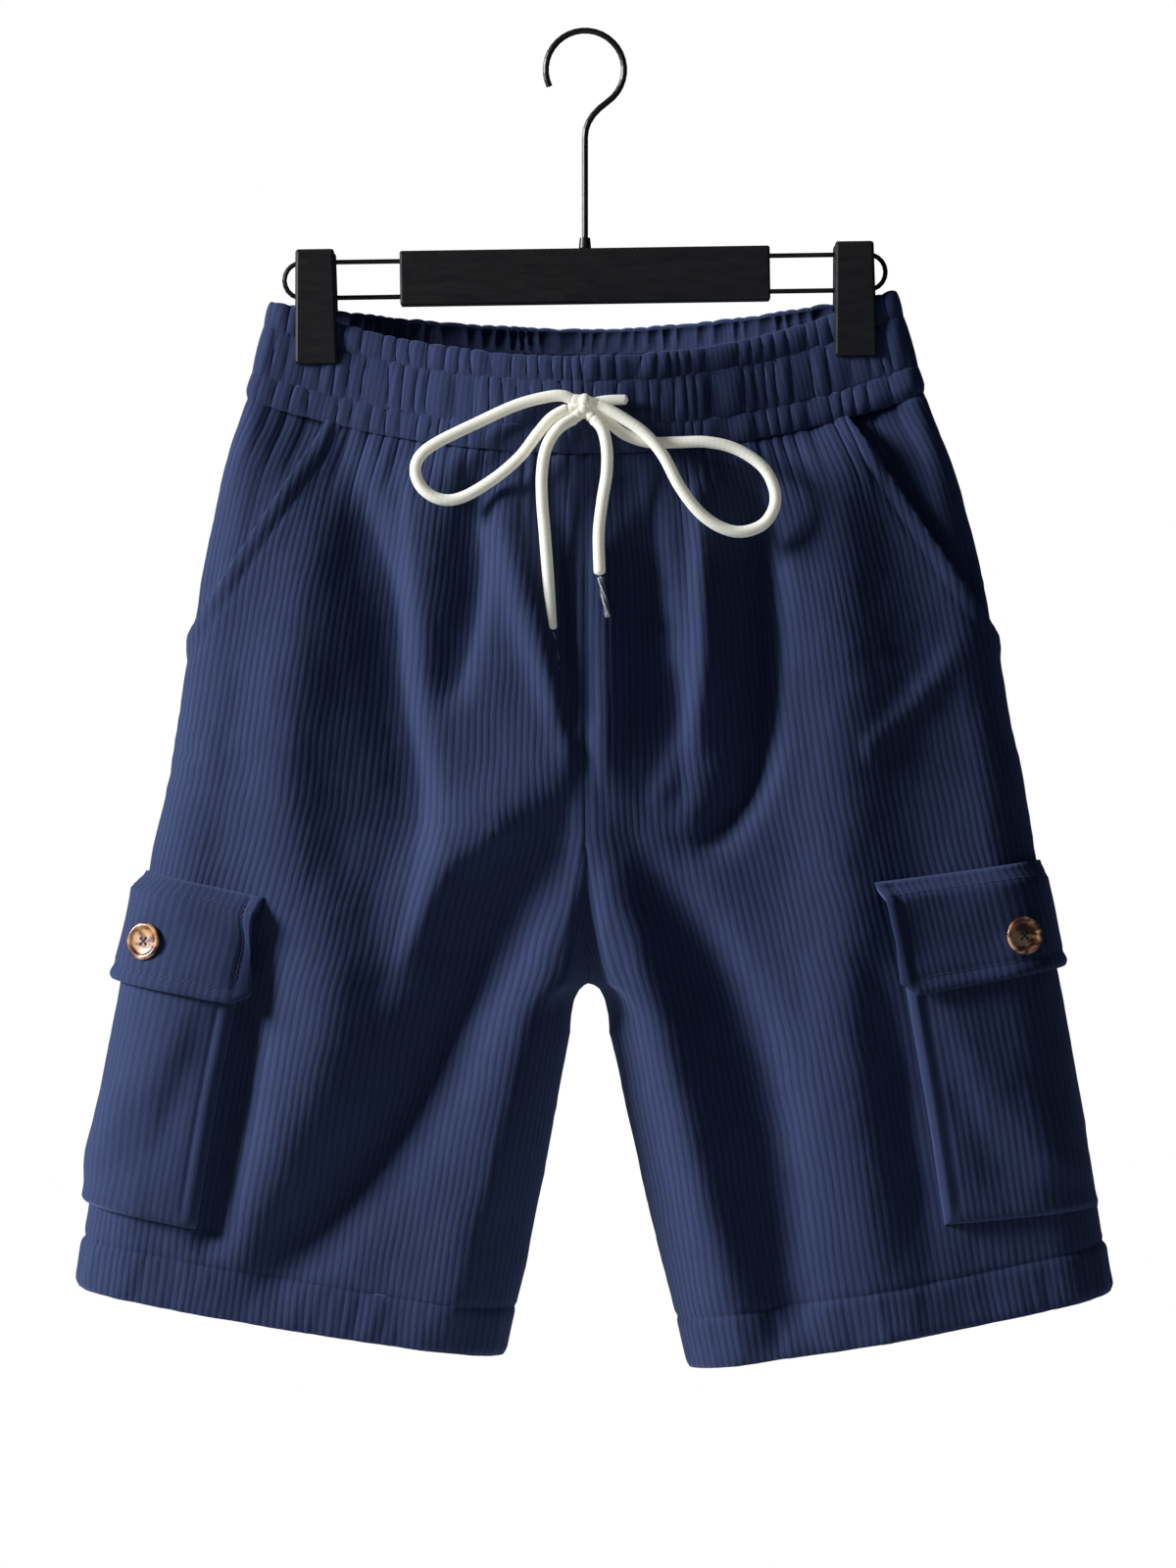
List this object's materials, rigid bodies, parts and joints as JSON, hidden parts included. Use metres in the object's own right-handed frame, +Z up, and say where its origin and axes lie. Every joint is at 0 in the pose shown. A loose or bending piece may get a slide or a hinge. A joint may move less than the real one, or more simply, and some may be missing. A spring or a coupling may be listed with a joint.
{
  "type": "cargo shorts on a clip hanger",
  "caption": "Wide-wale corduroy cargo shorts with a gathered drawcord waist, slant pockets and flapped bellows pockets, gripped at the waistband by a clip hanger with a rail hook.",
  "frame": {"origin": "where a rail touches the inside top of the hanger's hook", "axes": "+Z up, the garment's front faces -Y, +X to the right as seen from the front"},
  "size_m": [0.5786, 0.1003, 0.7499],
  "materials": {
    "corduroy": "navy wide-wale cotton corduroy with a soft pile",
    "drawcord": "ecru braided cotton cord",
    "button": "brown tortoiseshell resin",
    "aglet": "clear crimped film",
    "hanger_plastic": "satin black moulded plastic",
    "hanger_steel": "black lacquered steel wire"
  },
  "bodies": {
    "root": {"front_left": "corduroy", "front_right": "corduroy", "back_left": "corduroy", "back_right": "corduroy", "waistband_front": "corduroy", "waistband_back": "corduroy", "pocket_facing_left": "corduroy", "pocket_facing_right": "corduroy", "cargo_pocket_left": "corduroy", "cargo_pocket_right": "corduroy", "cargo_flap_left": "corduroy", "cargo_flap_right": "corduroy", "button_left": "button", "button_right": "button", "drawcord_knot": "drawcord", "drawcord_stub": "drawcord", "drawcord_loop_left": "drawcord", "drawcord_loop_right": "drawcord", "drawcord_tail_left": "drawcord", "drawcord_tail_right": "drawcord", "aglet_left": "aglet", "aglet_right": "aglet", "hanger_hook": "hanger_steel", "hanger_ferrule": "hanger_steel", "hanger_bar": "hanger_plastic", "hanger_wire_left": "hanger_steel", "hanger_wire_right": "hanger_steel", "clip_left_front_jaw": "hanger_plastic", "clip_left_back_jaw": "hanger_plastic", "clip_left_pivot": "hanger_plastic", "clip_right_front_jaw": "hanger_plastic", "clip_right_back_jaw": "hanger_plastic", "clip_right_pivot": "hanger_plastic"}
  },
  "joints": []
}
